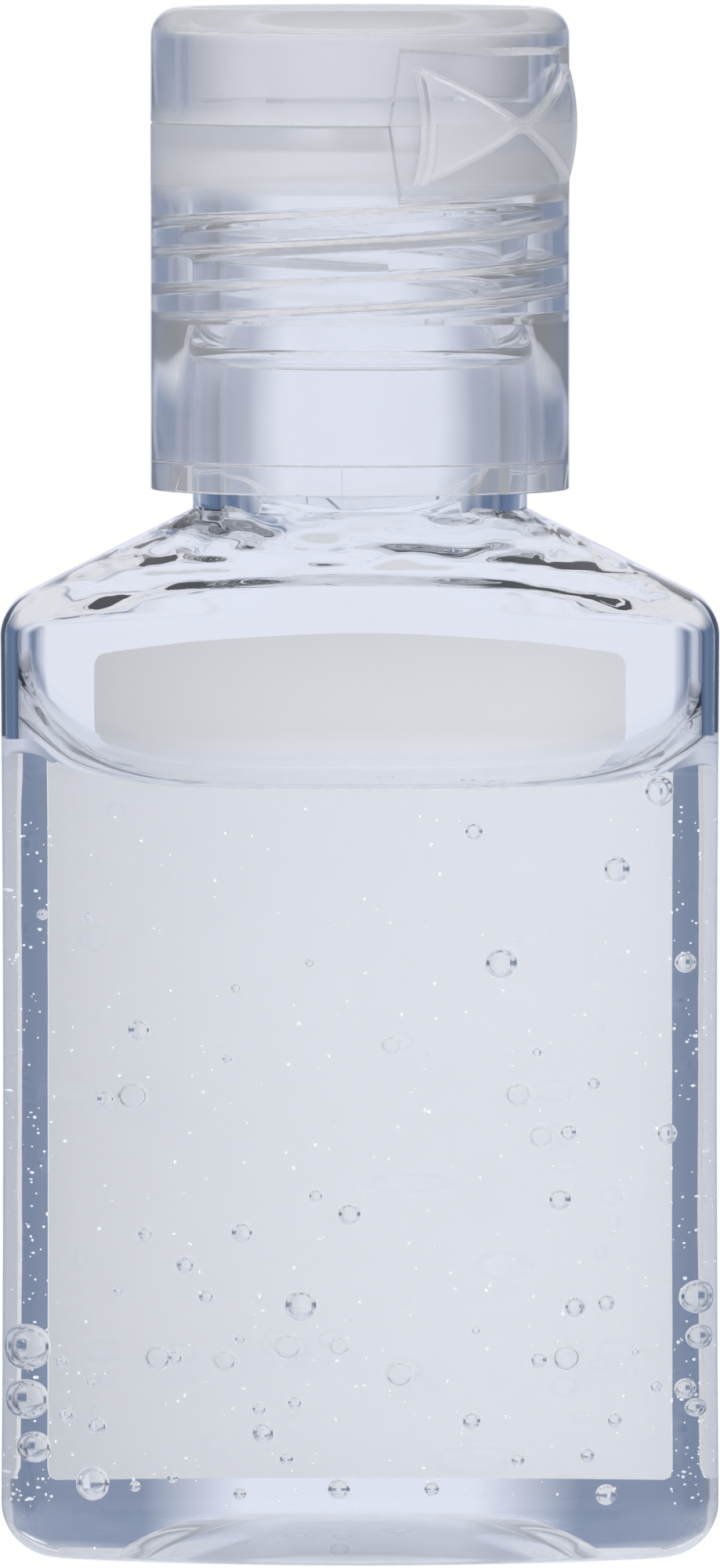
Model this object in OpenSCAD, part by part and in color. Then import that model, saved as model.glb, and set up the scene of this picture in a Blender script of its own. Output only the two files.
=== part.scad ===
// Pocket-size hand sanitizer bottle: a clear flat oval bottle of gel with a flip-top screw cap.
// +Z is up, the front faces -Y, and the origin is the middle of the foot on the table.

/* [Bottle body] */
// Width of the body, side to side
body_w = 34.3; // [28:0.1:44]
// Depth of the body, front to back
body_d = 20.7; // [18:0.1:26]
// Radius of the four upright corners, seen from above
corner_r = 4.7; // [3:0.1:6]
// Length of the flat stretch on each side, seen from above
side_flat = 3.9; // [2:0.1:5]
// Wall thickness of the blown body
wall = 0.8; // [0.5:0.05:1.2]
// How far the walls draw in at mid height
waist = 0.1; // [0:0.02:0.3]
// Radius of the rounded heel
heel_r = 2.6; // [1.8:0.1:3.4]
// Width of the flat ring that it stands on
foot_w = 0.9; // [0.5:0.1:1.5]
// Height of the hollow under the base
push_up = 1.4; // [0.6:0.1:2]

/* [Shoulder and neck] */
// Height where the shoulder meets the neck
neck_base = 50; // [44:0.5:62]
// Slope of the shoulder towards the sides, above level
side_slope = 27; // [20:1:35]
// Slope of the shoulder towards the front and back, above level
front_slope = 55; // [50:1:62]
// Rounding of the shoulder edge at the sides
side_round = 2.2; // [1.4:0.1:2.8]
// Rounding of the shoulder edge at the front and back
front_round = 1.5; // [1.2:0.1:2.4]
// Outer radius of the neck
neck_r = 8.0; // [7.6:0.05:8.3]
// Length of the neck above the shoulder
neck_h = 17.2; // [16:0.1:20]
// Wall thickness of the neck
neck_wall = 1.25; // [1:0.05:1.6]
// How far the bead stands out from the neck
bead_out = 0.45; // [0.3:0.05:0.6]
// Height of the bead above the shoulder
bead_up = 7.2; // [5:0.1:8]
// Half of the bead's height
bead_half = 0.45; // [0.3:0.05:0.7]

/* [Screw thread] */
// Depth of the thread, from its root on the neck to its crest
thread_depth = 0.65; // [0.45:0.05:0.8]
// Rise of the thread in one turn
thread_pitch = 3.175; // [2.6:0.005:3.4]
// Number of turns
thread_turns = 1.5; // [1:0.1:1.7]
// Width of the thread at its root
thread_root = 1.9; // [1.4:0.1:2.2]
// Width of the thread at its crest
thread_crest = 0.8; // [0.5:0.1:1.2]
// Lip of plain neck above the thread's upper end
thread_down = 2.2; // [1.6:0.1:2.8]

/* [Contents and label] */
// Depth of the gel's surface, in its middle, below the start of the shoulder
headroom = 6.8; // [6:0.2:24]
// How much higher the gel clings at the left end
climb_left = 4.8; // [0:0.1:5]
// How much higher the gel clings at the right end
climb_right = 2.4; // [0:0.1:5]
// Gap left between gel and wall
gel_gap = 0.05; // [0.02:0.01:0.2]
// Width of the back label, seen from behind
label_w = 25.6; // [12:0.1:26]
// Height of the label's lower edge above the table
label_low = 3.2; // [2.8:0.1:8]
// Distance from the label's upper edge to the start of the shoulder
label_margin = 0.4; // [0.2:0.1:20]
// Thickness of the label
label_t = 0.1; // [0.06:0.01:0.2]
// Layer of adhesive under the label
label_gap = 0.03; // [0.02:0.01:0.06]

/* [Cap] */
// Clearance between the thread's crest and the inside of the skirt
thread_clear = 0.2; // [0.1:0.05:0.5]
// Thickness of the cap's skirt
cap_wall = 1.15; // [1:0.05:1.2]
// Bare neck between the shoulder and the rim of the cap
rim_up = 0.9; // [0.6:0.1:2]
// Thickness of the deck that closes the neck
deck_t = 1.2; // [0.9:0.05:1.6]
// Height of the shallow step inside the rim
step_h = 0.4; // [0.2:0.1:0.6]
// Depth of the shallow step inside the rim
step_in = 0.15; // [0.1:0.05:0.3]
// Number of ratchet notches in the rim
notches = 7; // [4:1:10]
// Height of a ratchet notch
notch_h = 1.3; // [0.8:0.1:1.8]
// Width of a ratchet notch
notch_w = 2.3; // [1.6:0.1:3]
// Width of the ramp at the start of a notch
notch_ramp = 1.0; // [0.4:0.1:1.4]
// Depth of the notches in the wall
notch_in = 0.5; // [0.35:0.05:0.7]
// Room between the lid's side wall and the snap rim
snap_room = 0.6; // [0.4:0.05:0.9]
// Thickness of the snap rim
snap_wall = 0.9; // [0.7:0.05:1.2]
// Height of the snap rim above the parting line
snap_h = 1.15; // [0.8:0.05:1.5]
// Outer radius of the spout
spout_r = 1.9; // [1.6:0.05:2.4]
// Radius of the hole in the spout
hole_r = 0.8; // [0.6:0.05:1]
// Height of the spout above the parting line
spout_h = 1.7; // [1.2:0.05:2]
// Radial clearance of the sealing plug in the neck
plug_clear = 0.12; // [0.08:0.01:0.3]
// Thickness of the sealing plug
plug_wall = 0.8; // [0.6:0.05:1]
// Length of the sealing plug below the deck
plug_h = 2.2; // [1.4:0.1:3]

/* [Lid] */
// Height of the lid
lid_h = 5.5; // [5:0.1:8]
// Thickness of the lid's side wall
lid_wall = 1.1; // [0.9:0.05:1.3]
// Thickness of the lid's top
lid_top = 1.2; // [0.9:0.05:1.5]
// Rounding of the lid's top edge
lid_round = 1.35; // [0.8:0.05:1.6]
// How much narrower the ring inside the lid is than the snap rim
ring_in = 0.25; // [0.1:0.05:0.4]
// Outer radius of the boss round the sealing pin
boss_r = 4.5; // [3.6:0.1:5.5]
// Thickness of the ring and the boss
ring_wall = 0.55; // [0.4:0.05:0.8]
// Clearance between the lid's inner parts and the cap
lid_clear = 0.2; // [0.1:0.05:0.3]
// Radius of the sealing pin at its tip
pin_tip_r = 0.45; // [0.3:0.05:0.5]
// Length of the pin inside the hole
pin_depth = 0.5; // [0.3:0.05:0.6]

/* [Hinge] */
// Direction of the hinge, round from the front towards the right side
hinge_az = 47.5; // [0:0.5:90]
// Half width of the bow-tie hinge
hinge_half_w = 5.2; // [4:0.1:5.6]
// Half height of the bow-tie at its ends
hinge_half_h = 2.85; // [2:0.05:3.2]
// Half height of the bow-tie at its waist
hinge_waist = 0.3; // [0.2:0.05:0.6]
// How far the wings stand out from the cap
hinge_proud = 0.5; // [0.3:0.05:0.7]
// Depth of the pocket round the wings
pocket_in = 0.4; // [0.2:0.05:0.6]
// Margin of the pocket round the wings
pocket_margin = 0.6; // [0.3:0.1:1]
// Width of the thumb scoop opposite the hinge
scoop_w = 9; // [6:0.5:11]
// Height of the thumb scoop below the parting line
scoop_h = 2.2; // [1.4:0.1:3]
// Depth of the thumb scoop
scoop_in = 0.55; // [0.3:0.05:0.7]

/* [Hidden] */

CLEAR_PET = [0.82, 0.87, 0.93, 0.35];
GEL_BLUE = [0.60, 0.68, 0.80, 0.55];
LABEL_WHITE = [0.88, 0.88, 0.89];
CAP_MILK = [0.80, 0.81, 0.88, 0.75];

ROUND_FN = 96;
SINK = 0.1;

half_w = body_w / 2;
half_d = body_d / 2;
flat_y = side_flat / 2;
bore_r = neck_r - neck_wall;
bead_r = neck_r + bead_out;
thread_r = neck_r + thread_depth;
cap_r = thread_r + thread_clear + cap_wall;
snap_r = cap_r - lid_wall - snap_room;
ring_r = snap_r - ring_in;
neck_top = neck_base + neck_h;
part_z = neck_top + deck_t;
rim_z = neck_base + rim_up;
lid_z = part_z + lid_h;

// Seen from above the body is two shallow arcs, front and back, four corner arcs and two short flats.
face_r = (pow(half_w - corner_r, 2) + pow(half_d - flat_y, 2) - pow(corner_r, 2))
         / (2 * (half_d - flat_y - corner_r));
face_angle = asin((half_w - corner_r) / (face_r - corner_r));

// Steps along a quarter of the outline
FACE_STEPS = 6;
CORNER_STEPS = 6;
FLAT_STEPS = 2;
QUARTER = FACE_STEPS + CORNER_STEPS + FLAT_STEPS;
AROUND = 4 * QUARTER;

function mix(a, b, t) = a + (b - a) * t;

// A point of the front right quarter of the outline, moved inwards by an even inset
function quarter_point(i, inset) =
    i <= FACE_STEPS
    ? let (a = face_angle * i / FACE_STEPS, r = face_r - inset)
      [r * sin(a), face_r - half_d - r * cos(a)]
    : i <= FACE_STEPS + CORNER_STEPS
    ? let (a = mix(face_angle, 90, (i - FACE_STEPS) / CORNER_STEPS), r = corner_r - inset)
      [half_w - corner_r + r * sin(a), -flat_y - r * cos(a)]
    : let (t = (i - FACE_STEPS - CORNER_STEPS) / FLAT_STEPS)
      [half_w - inset, -flat_y * (1 - t)];

// The whole outline, once round from the front middle
function outline_point(j, inset) =
    let (side = floor(j / QUARTER), i = j % QUARTER)
    let (p = side % 2 == 0 ? quarter_point(i, inset) : quarter_point(QUARTER - i, inset))
    [side < 2 ? p.x : -p.x, side == 0 || side == 3 ? p.y : -p.y];

function circle_point(j, r) = let (a = 360 * j / AROUND) [r * sin(a), -r * cos(a)];

// One ring of skin: the outline moved in by inset, then drawn towards a circle by tx and ty
function skin_ring(z, inset, tx = 0, ty = 0, r = 1, s = 1) =
    [for (j = [0 : AROUND - 1])
        let (o = outline_point(j, inset), c = circle_point(j, r))
        [s * mix(o.x, c.x, tx), s * mix(o.y, c.y, ty), z]];

function round_ring(z, r) = skin_ring(z, 0, 1, 1, r);

// Half width of a shoulder profile at height z, moved inwards by inset
function shoulder_span(z, full, edge, slope, inset, low_r) =
    let (r = edge - inset, foot_r = neck_r - inset * sin(slope))
    let (foot_z = neck_base - inset * cos(slope))
    let (edge_z = foot_z - (full - inset - foot_r) * tan(slope) - r * tan((90 - slope) / 2))
    let (line = foot_r + (foot_z - z) / tan(slope))
    max(low_r, z <= edge_z ? full - inset
             : z < edge_z + r * cos(slope) ? full - inset - r + sqrt(r * r - pow(z - edge_z, 2))
             : line);

// Height where the side of the shoulder starts to turn in
shoulder_low = neck_base - (half_w - neck_r) * tan(side_slope)
               - side_round * tan((90 - side_slope) / 2);
gel_level = shoulder_low - headroom;
label_h = shoulder_low - label_margin - label_low;

function shoulder_ring(z, inset, low_r) =
    let (ax = shoulder_span(z, half_w, side_round, side_slope, inset, low_r))
    let (ay = shoulder_span(z, half_d, front_round, front_slope, inset, low_r))
    skin_ring(z, inset, (half_w - inset - ax) / (half_w - inset - low_r),
              (half_d - inset - ay) / (half_d - inset - low_r), low_r);

function waist_at(z) =
    waist * sin(180 * max(0, min(1, (z - heel_r) / (shoulder_low - heel_r))));

HEEL_STEPS = 5;
WALL_STEPS = 4;
SHOULDER_STEPS = 11;
DOME_STEPS = [0.35, 0.7, 0.92];

// Rings of the hollow under the base, from its middle out to the foot
function dome_rings(up, inset) =
    [for (s = DOME_STEPS) skin_ring(up + push_up * (1 - s * s), inset, s = s)];

function heel_rings(inset) =
    [for (k = [0 : HEEL_STEPS])
        let (a = 90 * k / HEEL_STEPS, r = heel_r - inset)
        skin_ring(heel_r - r * cos(a), heel_r - r * sin(a))];

function wall_rings(inset, top) =
    [for (k = [1 : WALL_STEPS])
        let (z = mix(heel_r, top, k / WALL_STEPS))
        skin_ring(z, inset + waist_at(z))];

function shoulder_rings(inset, low_r, top) =
    [for (k = [1 : SHOULDER_STEPS])
        shoulder_ring(mix(shoulder_low, top, k / SHOULDER_STEPS), inset, low_r)];

// A half-round bead on the neck
function bead_rings() =
    [for (a = [-90 : 45 : 90])
        round_ring(neck_base + bead_up + bead_half * sin(a), neck_r + (bead_r - neck_r) * cos(a))];

function backwards(rings) = [for (k = [len(rings) - 1 : -1 : 0]) rings[k]];

// Triangles between rings of n points, closed at both ends by a point on the axis
function ring_faces(rings, n) =
    let (low = n * rings, high = low + 1)
    concat(
        [for (j = [0 : n - 1]) [low, j, (j + 1) % n]],
        [for (k = [0 : rings - 2], j = [0 : n - 1]) let (m = (j + 1) % n)
            [k * n + j, (k + 1) * n + j, (k + 1) * n + m]],
        [for (k = [0 : rings - 2], j = [0 : n - 1]) let (m = (j + 1) % n)
            [k * n + j, (k + 1) * n + m, k * n + m]],
        [for (j = [0 : n - 1]) [high, (rings - 1) * n + (j + 1) % n, (rings - 1) * n + j]]);

// A closed skin through rings of equal length, from one middle point to another
module skin(rings, first, last) {
    points = concat([for (ring = rings, p = ring) p], [first, last]);
    polyhedron(points, ring_faces(len(rings), len(rings[0])));
}

// Outside of the bottle from the middle of the base to the lip, then its inside back down
module bottle_shell() {
    lip = 0.25;
    inner_low = wall;
    outside = concat(
        dome_rings(0, heel_r + foot_w),
        [skin_ring(0, heel_r + foot_w)],
        heel_rings(0),
        wall_rings(0, shoulder_low),
        shoulder_rings(0, neck_r, neck_base),
        bead_rings(),
        [round_ring(neck_top - lip, neck_r), round_ring(neck_top, neck_r - lip)]);
    inside = concat(
        dome_rings(inner_low, heel_r + foot_w),
        [skin_ring(inner_low, heel_r + foot_w)],
        heel_rings(wall),
        wall_rings(wall, shoulder_low),
        shoulder_rings(wall, bore_r, neck_base + lip),
        [round_ring(neck_top - lip, bore_r), round_ring(neck_top, bore_r + lip)]);
    skin(concat(outside, backwards(inside)), [0, 0, push_up], [0, 0, inner_low + push_up]);
}

// The screw thread as a chain of short bars round the neck, fading out at both ends
module neck_thread() {
    steps = 42;
    fade = 0.08;
    sliver = 0.02;
    root_r = neck_r - SINK;
    top = neck_top - thread_down;
    rise = thread_turns * thread_pitch;
    function crest(t) = mix(neck_r, thread_r, min(1, min(t, 1 - t) / fade));
    module bar(t) {
        rotate([0, 0, 360 * thread_turns * t])
            translate([0, 0, top - rise * (1 - t)])
                rotate([90, 0, -90])
                    linear_extrude(sliver)
                        polygon([[root_r, -thread_root / 2], [crest(t), -thread_crest / 2],
                                 [crest(t), thread_crest / 2], [root_r, thread_root / 2]]);
    }
    for (k = [0 : steps - 1])
        hull() {
            bar(k / steps);
            bar((k + 1) / steps);
        }
}

module bottle() {
    color(CLEAR_PET) {
        bottle_shell();
        neck_thread();
    }
}

// Height of the gel's surface: low in the middle, clinging to both ends
function gel_top(x) =
    gel_level + (x < 0 ? climb_left : climb_right) * pow(abs(x) / half_w, 3);

module gel() {
    inset = wall + gel_gap;
    sides = concat(
        dome_rings(inset, heel_r + foot_w),
        [skin_ring(inset, heel_r + foot_w)],
        heel_rings(inset),
        wall_rings(inset, gel_level - 1));
    edge = skin_ring(gel_level, inset + waist_at(gel_level));
    surface = [for (s = [1, 0.85, 0.6, 0.3])
        [for (p = edge) [s * p.x, s * p.y, gel_top(s * p.x)]]];
    color(GEL_BLUE)
        skin(concat(sides, surface), [0, 0, inset + push_up], [0, 0, gel_level]);
}

// A thin film that follows the curve of the back
module back_label() {
    across = 18;
    up = 6;
    reach = asin(label_w / 2 / face_r);
    function film(a, z, out) =
        let (r = face_r + out - waist_at(z))
        [r * sin(a), half_d - face_r + r * cos(a), z];
    // One loop of the film's section, outer side first, repeated up the label
    function loop(z) = concat(
        [for (k = [0 : across]) film(mix(reach, -reach, k / across), z, label_gap + label_t)],
        [for (k = [0 : across]) film(mix(-reach, reach, k / across), z, label_gap)]);
    loops = [for (k = [0 : up]) loop(label_low + label_h * k / up)];
    n = 2 * (across + 1);
    points = [for (l = loops, p = l) p];
    // The two ends are strips between the outer and inner side, not fans
    ends = [for (k = [0 : across - 1]) let (o = n - 1 - k)
        each [[k, k + 1, o - 1], [k, o - 1, o],
              [up * n + k, up * n + o - 1, up * n + k + 1], [up * n + k, up * n + o, up * n + o - 1]]];
    sides = [for (k = [0 : up - 1], j = [0 : n - 1]) let (m = (j + 1) % n)
        each [[k * n + j, (k + 1) * n + j, (k + 1) * n + m], [k * n + j, (k + 1) * n + m, k * n + m]]];
    color(LABEL_WHITE)
        polyhedron(points, concat(ends, sides));
}

// A round tube standing at height z
module tube(r, wall_t, z, h) {
    translate([0, 0, z])
        difference() {
            cylinder(r = r, h = h, $fn = ROUND_FN);
            translate([0, 0, -SINK])
                cylinder(r = r - wall_t, h = h + 2 * SINK, $fn = ROUND_FN);
        }
}

// A flat outline, drawn as seen from outside, pushed through the wall at the hinge
module through_wall(points) {
    rotate([0, 0, hinge_az])
        rotate([90, 0, 0])
            linear_extrude(cap_r + 2 * hinge_proud)
                polygon(points);
}

// Half of the bow-tie hinge, above the parting line for up = 1 and below it for up = -1
module hinge_wings(up) {
    shoulder_u = 1.6;
    shoulder_v = 0.95;
    web_u = 0.9;
    right = [[hinge_half_w, 0], [hinge_half_w, hinge_half_h], [shoulder_u, shoulder_v],
             [web_u, hinge_waist]];
    left = [for (k = [3 : -1 : 0]) [-right[k].x, right[k].y]];
    intersection() {
        tube(cap_r + hinge_proud, hinge_proud + pocket_in + SINK, part_z + min(0, up) * lid_h, lid_h);
        translate([0, 0, part_z])
            through_wall([for (p = concat(right, left)) [p.x, up * p.y]]);
    }
}

// The pocket round the wings, widest at the parting line
module hinge_pocket(up) {
    low_w = hinge_half_w + 1.8 * pocket_margin;
    high_w = hinge_half_w + 0.9 * pocket_margin;
    high = hinge_half_h + pocket_margin;
    intersection() {
        tube(cap_r + hinge_proud, hinge_proud + pocket_in, part_z - lid_h, 2 * lid_h);
        translate([0, 0, part_z])
            through_wall([[-low_w, -up * SINK], [low_w, -up * SINK], [high_w, up * high],
                          [-high_w, up * high]]);
    }
}

// Ratchet notches inside the rim: each rises along a ramp and ends in an upright face
module ratchet_notches() {
    last_az = -5.2;
    profile = [[-notch_w - SINK * notch_ramp / notch_h, -SINK], [0, -SINK], [0, notch_h],
               [notch_ramp - notch_w, notch_h]];
    intersection() {
        translate([0, 0, rim_z - 2 * SINK])
            cylinder(r = cap_r - cap_wall + notch_in, h = notch_h + 4 * SINK, $fn = ROUND_FN);
        for (k = [0 : notches - 1])
            rotate([0, 0, last_az + 360 * k / notches])
                translate([0, -cap_r / 2, rim_z])
                    rotate([90, 0, 0])
                        linear_extrude(cap_r)
                            polygon(profile);
    }
}

// Half section of the cap below the parting line
module cap_base_section() {
    edge = 0.13;
    inner_r = cap_r - cap_wall;
    step_r = inner_r + step_in;
    plug_r = bore_r - plug_clear;
    snap_z = part_z + snap_h;
    spout_z = part_z + spout_h;
    polygon([
        [cap_r - edge, rim_z], [cap_r, rim_z + edge], [cap_r, part_z],
        [snap_r, part_z], [snap_r, snap_z - edge], [snap_r - edge, snap_z],
        [snap_r - snap_wall + edge, snap_z], [snap_r - snap_wall, snap_z - edge],
        [snap_r - snap_wall, part_z], [spout_r, part_z],
        [spout_r, spout_z - 2 * edge], [spout_r - 2 * edge, spout_z],
        [hole_r + 2 * edge, spout_z], [hole_r, spout_z - 2 * edge], [hole_r, neck_top],
        [plug_r - plug_wall, neck_top], [plug_r - plug_wall, neck_top - plug_h],
        [plug_r - 2 * edge, neck_top - plug_h], [plug_r, neck_top - plug_h + 2 * edge],
        [plug_r, neck_top], [inner_r, neck_top], [inner_r, rim_z + step_h],
        [step_r, rim_z + step_h], [step_r, rim_z]]);
}

// The thumb scoop: a shallow round-bottomed cut in the wall opposite the hinge
module thumb_scoop() {
    scoop_r = (pow(scoop_w / 2, 2) + pow(scoop_h, 2)) / (2 * scoop_h);
    rotate([0, 0, hinge_az + 180])
        translate([0, -cap_r + scoop_in, part_z - scoop_h + scoop_r])
            rotate([90, 0, 0])
                intersection() {
                    cylinder(r = scoop_r, h = cap_r, $fn = ROUND_FN);
                    translate([-scoop_w, -scoop_r - SINK, 0])
                        cube([2 * scoop_w, scoop_h + SINK, cap_r]);
                }
}

module cap_base() {
    color(CAP_MILK) {
        difference() {
            rotate_extrude($fn = ROUND_FN)
                cap_base_section();
            ratchet_notches();
            hinge_pocket(-1);
            thumb_scoop();
        }
        hinge_wings(-1);
    }
}

// Half section of the lid with its inner ring, its boss and the pin that seals the hole
module cap_lid_section() {
    round_steps = 8;
    inner_z = lid_z - lid_top;
    ring_low = part_z + snap_h + lid_clear;
    boss_low = part_z + lid_clear;
    pin_low = part_z + spout_h - pin_depth;
    pin_root_r = pin_tip_r + 0.15;
    polygon(concat(
        [[0, pin_low], [pin_tip_r, pin_low], [pin_root_r, inner_z],
         [boss_r - ring_wall, inner_z], [boss_r - ring_wall, boss_low], [boss_r, boss_low],
         [boss_r, inner_z], [ring_r - ring_wall, inner_z], [ring_r - ring_wall, ring_low],
         [ring_r, ring_low], [ring_r, inner_z], [cap_r - lid_wall, inner_z],
         [cap_r - lid_wall, part_z], [cap_r, part_z]],
        [for (k = [0 : round_steps]) let (a = 90 * k / round_steps)
            [cap_r - lid_round * (1 - cos(a)), lid_z - lid_round * (1 - sin(a))]],
        [[0, lid_z]]));
}

module cap_lid() {
    color(CAP_MILK) {
        difference() {
            rotate_extrude($fn = ROUND_FN)
                cap_lid_section();
            hinge_pocket(1);
        }
        hinge_wings(1);
    }
}

bottle();
gel();
back_label();
cap_base();
cap_lid();
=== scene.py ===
"""Looks of a pocket-size hand sanitizer bottle: clear bottle, gel with bubbles, label and flip-top cap."""
import math
import random

import bmesh
import bpy
import numpy as np
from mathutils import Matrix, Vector, noise


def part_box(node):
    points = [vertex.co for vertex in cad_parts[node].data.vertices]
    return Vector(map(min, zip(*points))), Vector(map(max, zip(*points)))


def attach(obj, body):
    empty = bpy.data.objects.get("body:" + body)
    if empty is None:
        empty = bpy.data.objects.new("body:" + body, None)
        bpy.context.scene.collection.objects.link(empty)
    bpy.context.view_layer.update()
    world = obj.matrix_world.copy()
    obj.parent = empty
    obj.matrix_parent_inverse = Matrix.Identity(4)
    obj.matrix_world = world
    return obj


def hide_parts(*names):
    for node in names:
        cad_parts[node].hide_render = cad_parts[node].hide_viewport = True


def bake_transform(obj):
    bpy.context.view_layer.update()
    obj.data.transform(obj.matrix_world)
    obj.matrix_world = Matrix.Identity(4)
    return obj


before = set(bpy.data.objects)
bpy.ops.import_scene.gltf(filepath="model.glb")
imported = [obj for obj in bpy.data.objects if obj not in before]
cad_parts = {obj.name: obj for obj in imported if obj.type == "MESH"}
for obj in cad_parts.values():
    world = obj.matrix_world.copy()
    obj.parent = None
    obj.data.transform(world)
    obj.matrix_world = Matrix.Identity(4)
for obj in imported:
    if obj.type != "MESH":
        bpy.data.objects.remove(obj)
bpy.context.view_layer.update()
scene = bpy.context.scene
scene.view_settings.view_transform = "Standard"
MM = 0.001

# Camera. The photograph looks at the front from a little above, through a long lens, so the
# bottle fills the frame and hardly narrows towards its foot.
camera_distance = 1.157
camera_height = 0.094
aim_height = 0.0368
frame_height = 0.0749

camera = bpy.data.objects.new("camera", bpy.data.cameras.new("camera"))
scene.collection.objects.link(camera)
camera.location = (0, -camera_distance, camera_height)
sight = Vector((0, 0, aim_height)) - camera.location
camera.rotation_euler = sight.to_track_quat("-Z", "Y").to_euler()
camera.data.sensor_width = 36
camera.data.lens = camera.data.sensor_width * sight.length / frame_height
camera.data.clip_end = 20
scene.camera = camera

# Bottle. One blown body of clear plastic, its section two shallow arcs joined by round corners. It is
# blown from a preform whose neck, with its bead and its screw thread, was injection moulded. Inside the
# shoulder the plastic gathered in a ridge and in swirls.
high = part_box("bottle")[1]
half_w = high.x
half_d = high.y
neck_top = high.z
corner_r = 4.7 * MM
side_flat = 3.9 * MM
wall = 0.8 * MM
waist = 0.1 * MM
heel_r = 2.6 * MM
foot_w = 0.9 * MM
push_up = 1.4 * MM
neck_r = 8.0 * MM
neck_h = 17.2 * MM
neck_wall = 1.25 * MM
neck_base = neck_top - neck_h
bore_r = neck_r - neck_wall
lip_round = 0.35 * MM
side_slope = math.radians(27)
front_slope = math.radians(55)
side_round = 2.2 * MM
front_round = 1.5 * MM
fold_z, fold_fall = 47.1 * MM, 2.8 * MM
ridge, ridge_half = 0.14 * MM, 0.35 * MM
swirl_in, swirl_long, swirl_high = 0.30 * MM, 4.0 * MM, 1.2 * MM
gather_fade, gather_below = 0.6 * MM, 0.2 * MM
gather_ends, gather_ends_from, gather_ends_to = 0.8, 0.68, 0.95
gather_slant = 0.7
bead_out = 0.45 * MM
bead_up = 7.2 * MM
bead_half = 0.45 * MM
thread_out = 0.65 * MM
thread_pitch = 3.175 * MM
thread_turns = 1.5
thread_root = 1.9 * MM
thread_crest = 0.8 * MM
thread_down = 2.2 * MM
thread_fade = 0.08

FACE_STEPS, CORNER_STEPS, FLAT_STEPS = 26, 18, 4
AROUND = 4 * (FACE_STEPS + CORNER_STEPS + FLAT_STEPS)
ring_angle = 2 * math.pi * np.arange(AROUND) / AROUND
circle = np.stack([np.sin(ring_angle), -np.cos(ring_angle)], 1)

flat_y = side_flat / 2
face_r = (((half_w - corner_r) ** 2 + (half_d - flat_y) ** 2 - corner_r ** 2)
          / (2 * (half_d - flat_y - corner_r)))
face_angle = math.asin((half_w - corner_r) / (face_r - corner_r))


def outline(inset):
    """The body's section seen from above, moved inwards by inset, once round from the front middle."""
    a = face_angle * np.arange(FACE_STEPS) / FACE_STEPS
    face = np.stack([(face_r - inset) * np.sin(a), face_r - half_d - (face_r - inset) * np.cos(a)], 1)
    a = face_angle + (math.pi / 2 - face_angle) * np.arange(CORNER_STEPS) / CORNER_STEPS
    r = corner_r - inset
    corner = np.stack([half_w - corner_r + r * np.sin(a), -flat_y - r * np.cos(a)], 1)
    t = np.arange(FLAT_STEPS + 1) / FLAT_STEPS
    flat = np.stack([np.full(len(t), half_w - inset), -flat_y * (1 - t)], 1)
    front_right = np.concatenate([face, corner, flat])
    back_right = front_right[-2:0:-1] * [1, -1]
    back_middle = front_right[:1] * [1, -1]
    right = np.concatenate([front_right, back_right, back_middle])
    return np.concatenate([right, right[-2:0:-1] * [-1, 1]])


def skin_ring(z, inset, tx=0.0, ty=0.0, r=1.0, s=1.0):
    """One ring of skin: the section moved in by inset, drawn to a circle by tx and ty, and scaled by s."""
    o, c = outline(inset), circle * r
    x = s * (o[:, 0] + (c[:, 0] - o[:, 0]) * tx)
    y = s * (o[:, 1] + (c[:, 1] - o[:, 1]) * ty)
    return np.stack([x, y, np.broadcast_to(z, x.shape)], 1)


def round_ring(z, r):
    """A circular ring at height z, of one radius or of one for each of its points."""
    return np.stack([circle[:, 0] * r, circle[:, 1] * r, np.full(AROUND, z)], 1)


def shoulder_span(z, full, edge, slope, inset, low_r):
    """Half width of a shoulder profile at height z: upright, then a round edge, then a straight slope."""
    r = edge - inset
    foot_r = neck_r - inset * math.sin(slope)
    foot_z = neck_base - inset * math.cos(slope)
    edge_z = foot_z - (full - inset - foot_r) * math.tan(slope) - r * math.tan((math.pi / 2 - slope) / 2)
    if z <= edge_z:
        span = full - inset
    elif z < edge_z + r * math.cos(slope):
        span = full - inset - r + math.sqrt(r * r - (z - edge_z) ** 2)
    else:
        span = foot_r + (foot_z - z) / math.tan(slope)
    return max(low_r, span)


shoulder_low = (neck_base - (half_w - neck_r) * math.tan(side_slope)
                - side_round * math.tan((math.pi / 2 - side_slope) / 2))


def shoulder_ring(z, inset, low_r):
    ax = shoulder_span(z, half_w, side_round, side_slope, inset, low_r)
    ay = shoulder_span(z, half_d, front_round, front_slope, inset, low_r)
    return skin_ring(z, inset, (half_w - inset - ax) / (half_w - inset - low_r),
                     (half_d - inset - ay) / (half_d - inset - low_r), low_r)


def waist_at(z):
    return waist * math.sin(math.pi * max(0.0, min(1.0, (z - heel_r) / (shoulder_low - heel_r))))


def dome_rings(up, inset, steps=16):
    """Rings of the hollow under the base, from near its middle out towards the foot."""
    return [skin_ring(up + push_up * (1 - s ** 4), inset, s=s) for s in (np.arange(1, steps) / steps) ** 0.7]


def heel_rings(inset, steps=12):
    rings = []
    for k in range(steps + 1):
        a = math.pi / 2 * k / steps
        r = heel_r - inset
        rings.append(skin_ring(heel_r - r * math.cos(a), heel_r - r * math.sin(a)))
    return rings


def wall_rings(inset, top, steps=14):
    heights = heel_r + (top - heel_r) * np.arange(1, steps + 1) / steps
    return [skin_ring(z, inset + waist_at(z)) for z in heights]


def shoulder_rings(inset, low_r, top, steps=40):
    heights = shoulder_low + (top - shoulder_low) * np.arange(1, steps + 1) / steps
    return [shoulder_ring(z, inset, low_r) for z in heights]


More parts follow.
